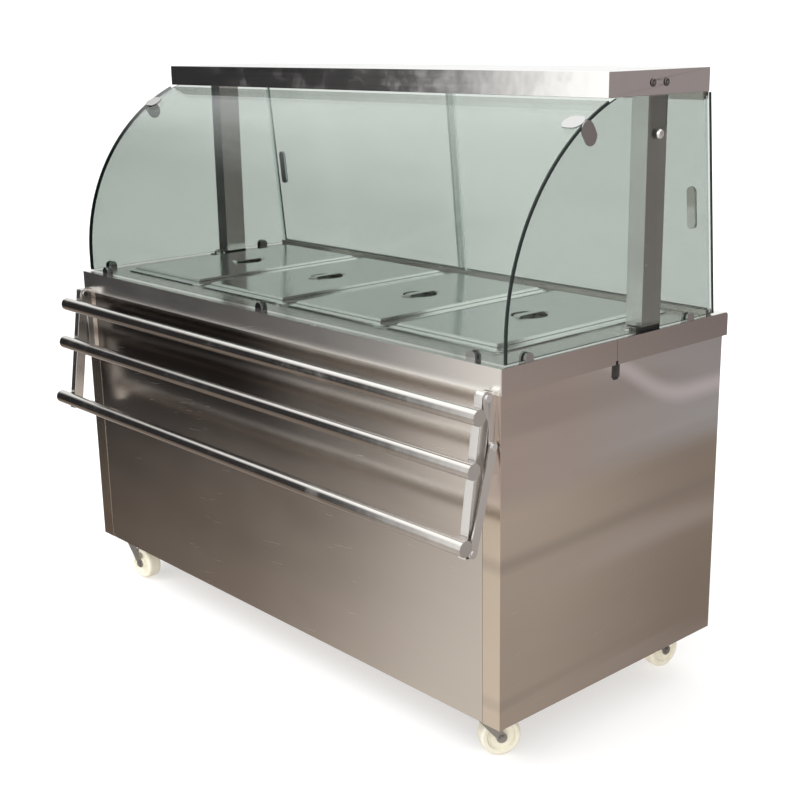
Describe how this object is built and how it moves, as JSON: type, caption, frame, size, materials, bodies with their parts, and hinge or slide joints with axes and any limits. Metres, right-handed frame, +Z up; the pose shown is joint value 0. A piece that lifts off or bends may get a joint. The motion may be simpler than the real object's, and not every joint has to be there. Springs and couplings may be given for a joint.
{
  "type": "steam table unit",
  "caption": "Wheeled bain-marie counter with lift-out pans, curved glass food display, overshelf, sliding rear glass doors and a folding tray slide.",
  "frame": {"origin": "on the floor under the middle of the whole unit", "axes": "+X along the counter to the customer's right as seen from the front, +Y towards the operator's side, +Z up; the customer side faces -Y"},
  "size_m": [1.5, 0.8388, 1.34],
  "materials": {
    "brushed_steel": "brushed, warm reflections",
    "polished_steel": "mirror polished",
    "pan_steel": "satin",
    "clear_glass": "clear with a green edge",
    "tube_steel": "polished tube",
    "black_rubber": "matte",
    "cream_nylon": "moulded",
    "red_plastic": "gloss",
    "amber_lens": "clear lens",
    "zinc_steel": "zinc plated",
    "element_metal": "heat stained"
  },
  "bodies": {
    "cabinet": {"side_panel_left": "brushed_steel", "side_panel_right": "brushed_steel", "front_panel": "brushed_steel", "bottom_pan": "brushed_steel", "rear_panel": "brushed_steel", "worktop": "brushed_steel", "pan_dividers": "brushed_steel", "water_tank": "pan_steel", "heating_element": "element_metal", "drain_valve": "zinc_steel", "control_panel": "brushed_steel", "pilot_lamp": "amber_lens", "cable_gland": "black_rubber", "post_left": "brushed_steel", "post_right": "brushed_steel", "post_gaskets": "black_rubber", "post_fixings": "polished_steel", "overshelf": "polished_steel", "front_glass": "clear_glass", "side_glass_left": "clear_glass", "side_glass_right": "clear_glass", "glass_clips": "polished_steel", "corner_clips": "polished_steel", "door_track_lower": "brushed_steel", "door_track_upper": "brushed_steel", "wall_channel_left": "brushed_steel", "wall_channel_right": "brushed_steel", "tray_pivot_bolts": "polished_steel", "castor_plates": "zinc_steel"},
    "door_left": {"glass_door_left": "clear_glass", "door_pull_left": "polished_steel"},
    "door_right": {"glass_door_right": "clear_glass", "door_pull_right": "polished_steel"},
    "tray_slide": {"tray_arm_left": "brushed_steel", "tray_arm_right": "brushed_steel", "tray_tube_upper": "tube_steel", "tray_tube_middle": "tube_steel", "tray_tube_lower": "tube_steel", "tube_saddles": "tube_steel"},
    "struts": {"strut_left": "brushed_steel", "strut_right": "brushed_steel"},
    "pan_1": {"food_pan_1": "pan_steel"},
    "lid_1": {"pan_lid_1": "pan_steel"},
    "pan_2": {"food_pan_2": "pan_steel"},
    "lid_2": {"pan_lid_2": "pan_steel"},
    "pan_3": {"food_pan_3": "pan_steel"},
    "lid_3": {"pan_lid_3": "pan_steel"},
    "pan_4": {"food_pan_4": "pan_steel"},
    "lid_4": {"pan_lid_4": "pan_steel"},
    "knob": {"thermostat_knob": "black_rubber"},
    "switch": {"power_switch": "red_plastic"},
    "lever": {"drain_lever": "red_plastic"},
    "fork_fl": {"castor_fork_fl": "zinc_steel"},
    "wheel_fl": {"castor_wheel_fl": "cream_nylon"},
    "fork_fr": {"castor_fork_fr": "zinc_steel"},
    "wheel_fr": {"castor_wheel_fr": "cream_nylon"},
    "fork_rl": {"castor_fork_rl": "zinc_steel"},
    "wheel_rl": {"castor_wheel_rl": "cream_nylon"},
    "fork_rr": {"castor_fork_rr": "zinc_steel"},
    "wheel_rr": {"castor_wheel_rr": "cream_nylon"}
  },
  "joints": [
    {"name": "door_left_slide", "type": "slide", "parent": "cabinet", "child": "door_left", "axis": [1, 0, 0], "range_m": [0, 0.69]},
    {"name": "door_right_slide", "type": "slide", "parent": "cabinet", "child": "door_right", "axis": [-1, 0, 0], "range_m": [0, 0.69]},
    {"name": "tray_fold", "type": "hinge", "parent": "cabinet", "child": "tray_slide", "pos_m": [0, -0.33359, 0.778], "axis": [-1, 0, 0], "range_deg": [0, 81.5]},
    {"name": "strut_swing", "type": "hinge", "parent": "cabinet", "child": "struts", "pos_m": [0, -0.32359, 0.685], "axis": [-1, 0, 0], "range_deg": [0, 102.82]},
    {"name": "pan_1_lift", "type": "slide", "parent": "cabinet", "child": "pan_1", "axis": [0, 0, 1], "range_m": [0, 0.12]},
    {"name": "lid_1_lift", "type": "slide", "parent": "pan_1", "child": "lid_1", "axis": [0, 0, 1], "range_m": [0, 0.1]},
    {"name": "pan_2_lift", "type": "slide", "parent": "cabinet", "child": "pan_2", "axis": [0, 0, 1], "range_m": [0, 0.12]},
    {"name": "lid_2_lift", "type": "slide", "parent": "pan_2", "child": "lid_2", "axis": [0, 0, 1], "range_m": [0, 0.1]},
    {"name": "pan_3_lift", "type": "slide", "parent": "cabinet", "child": "pan_3", "axis": [0, 0, 1], "range_m": [0, 0.12]},
    {"name": "lid_3_lift", "type": "slide", "parent": "pan_3", "child": "lid_3", "axis": [0, 0, 1], "range_m": [0, 0.1]},
    {"name": "pan_4_lift", "type": "slide", "parent": "cabinet", "child": "pan_4", "axis": [0, 0, 1], "range_m": [0, 0.12]},
    {"name": "lid_4_lift", "type": "slide", "parent": "pan_4", "child": "lid_4", "axis": [0, 0, 1], "range_m": [0, 0.1]},
    {"name": "thermostat_turn", "type": "hinge", "parent": "cabinet", "child": "knob", "pos_m": [0.625, 0.37341, 0.5785], "axis": [0, -1, 0], "range_deg": [0, 270]},
    {"name": "switch_rock", "type": "hinge", "parent": "cabinet", "child": "switch", "pos_m": [0.525, 0.37341, 0.5785], "axis": [-1, 0, 0], "range_deg": [0, 16]},
    {"name": "drain_lever_turn", "type": "hinge", "parent": "cabinet", "child": "lever", "pos_m": [-0.6, 0.39941, 0.5665], "axis": [0, 0, 1], "range_deg": [0, 90]},
    {"name": "swivel_fl", "type": "hinge", "parent": "cabinet", "child": "fork_fl", "pos_m": [-0.655, -0.26559, 0.095], "axis": [0, 0, 1], "continuous": true},
    {"name": "roll_fl", "type": "hinge", "parent": "fork_fl", "child": "wheel_fl", "pos_m": [-0.61905, -0.2637, 0.0425], "axis": [-0.0523, 0.9986, 0], "continuous": true},
    {"name": "swivel_fr", "type": "hinge", "parent": "cabinet", "child": "fork_fr", "pos_m": [0.655, -0.26559, 0.095], "axis": [0, 0, 1], "continuous": true},
    {"name": "roll_fr", "type": "hinge", "parent": "fork_fr", "child": "wheel_fr", "pos_m": [0.673, -0.23441, 0.0425], "axis": [-0.866, 0.5, 0], "continuous": true},
    {"name": "swivel_rl", "type": "hinge", "parent": "cabinet", "child": "fork_rl", "pos_m": [-0.655, 0.27641, 0.095], "axis": [0, 0, 1], "continuous": true},
    {"name": "roll_rl", "type": "hinge", "parent": "fork_rl", "child": "wheel_rl", "pos_m": [-0.68618, 0.29441, 0.0425], "axis": [-0.5, -0.866, 0], "continuous": true},
    {"name": "swivel_rr", "type": "hinge", "parent": "cabinet", "child": "fork_rr", "pos_m": [0.655, 0.27641, 0.095], "axis": [0, 0, 1], "continuous": true},
    {"name": "roll_rr", "type": "hinge", "parent": "fork_rr", "child": "wheel_rr", "pos_m": [0.65939, 0.31214, 0.0425], "axis": [-0.9925, 0.1219, 0], "continuous": true}
  ],
  "couplings": [
    {"joint": "strut_swing", "follows": "tray_fold", "ratio": 1.2555}
  ]
}
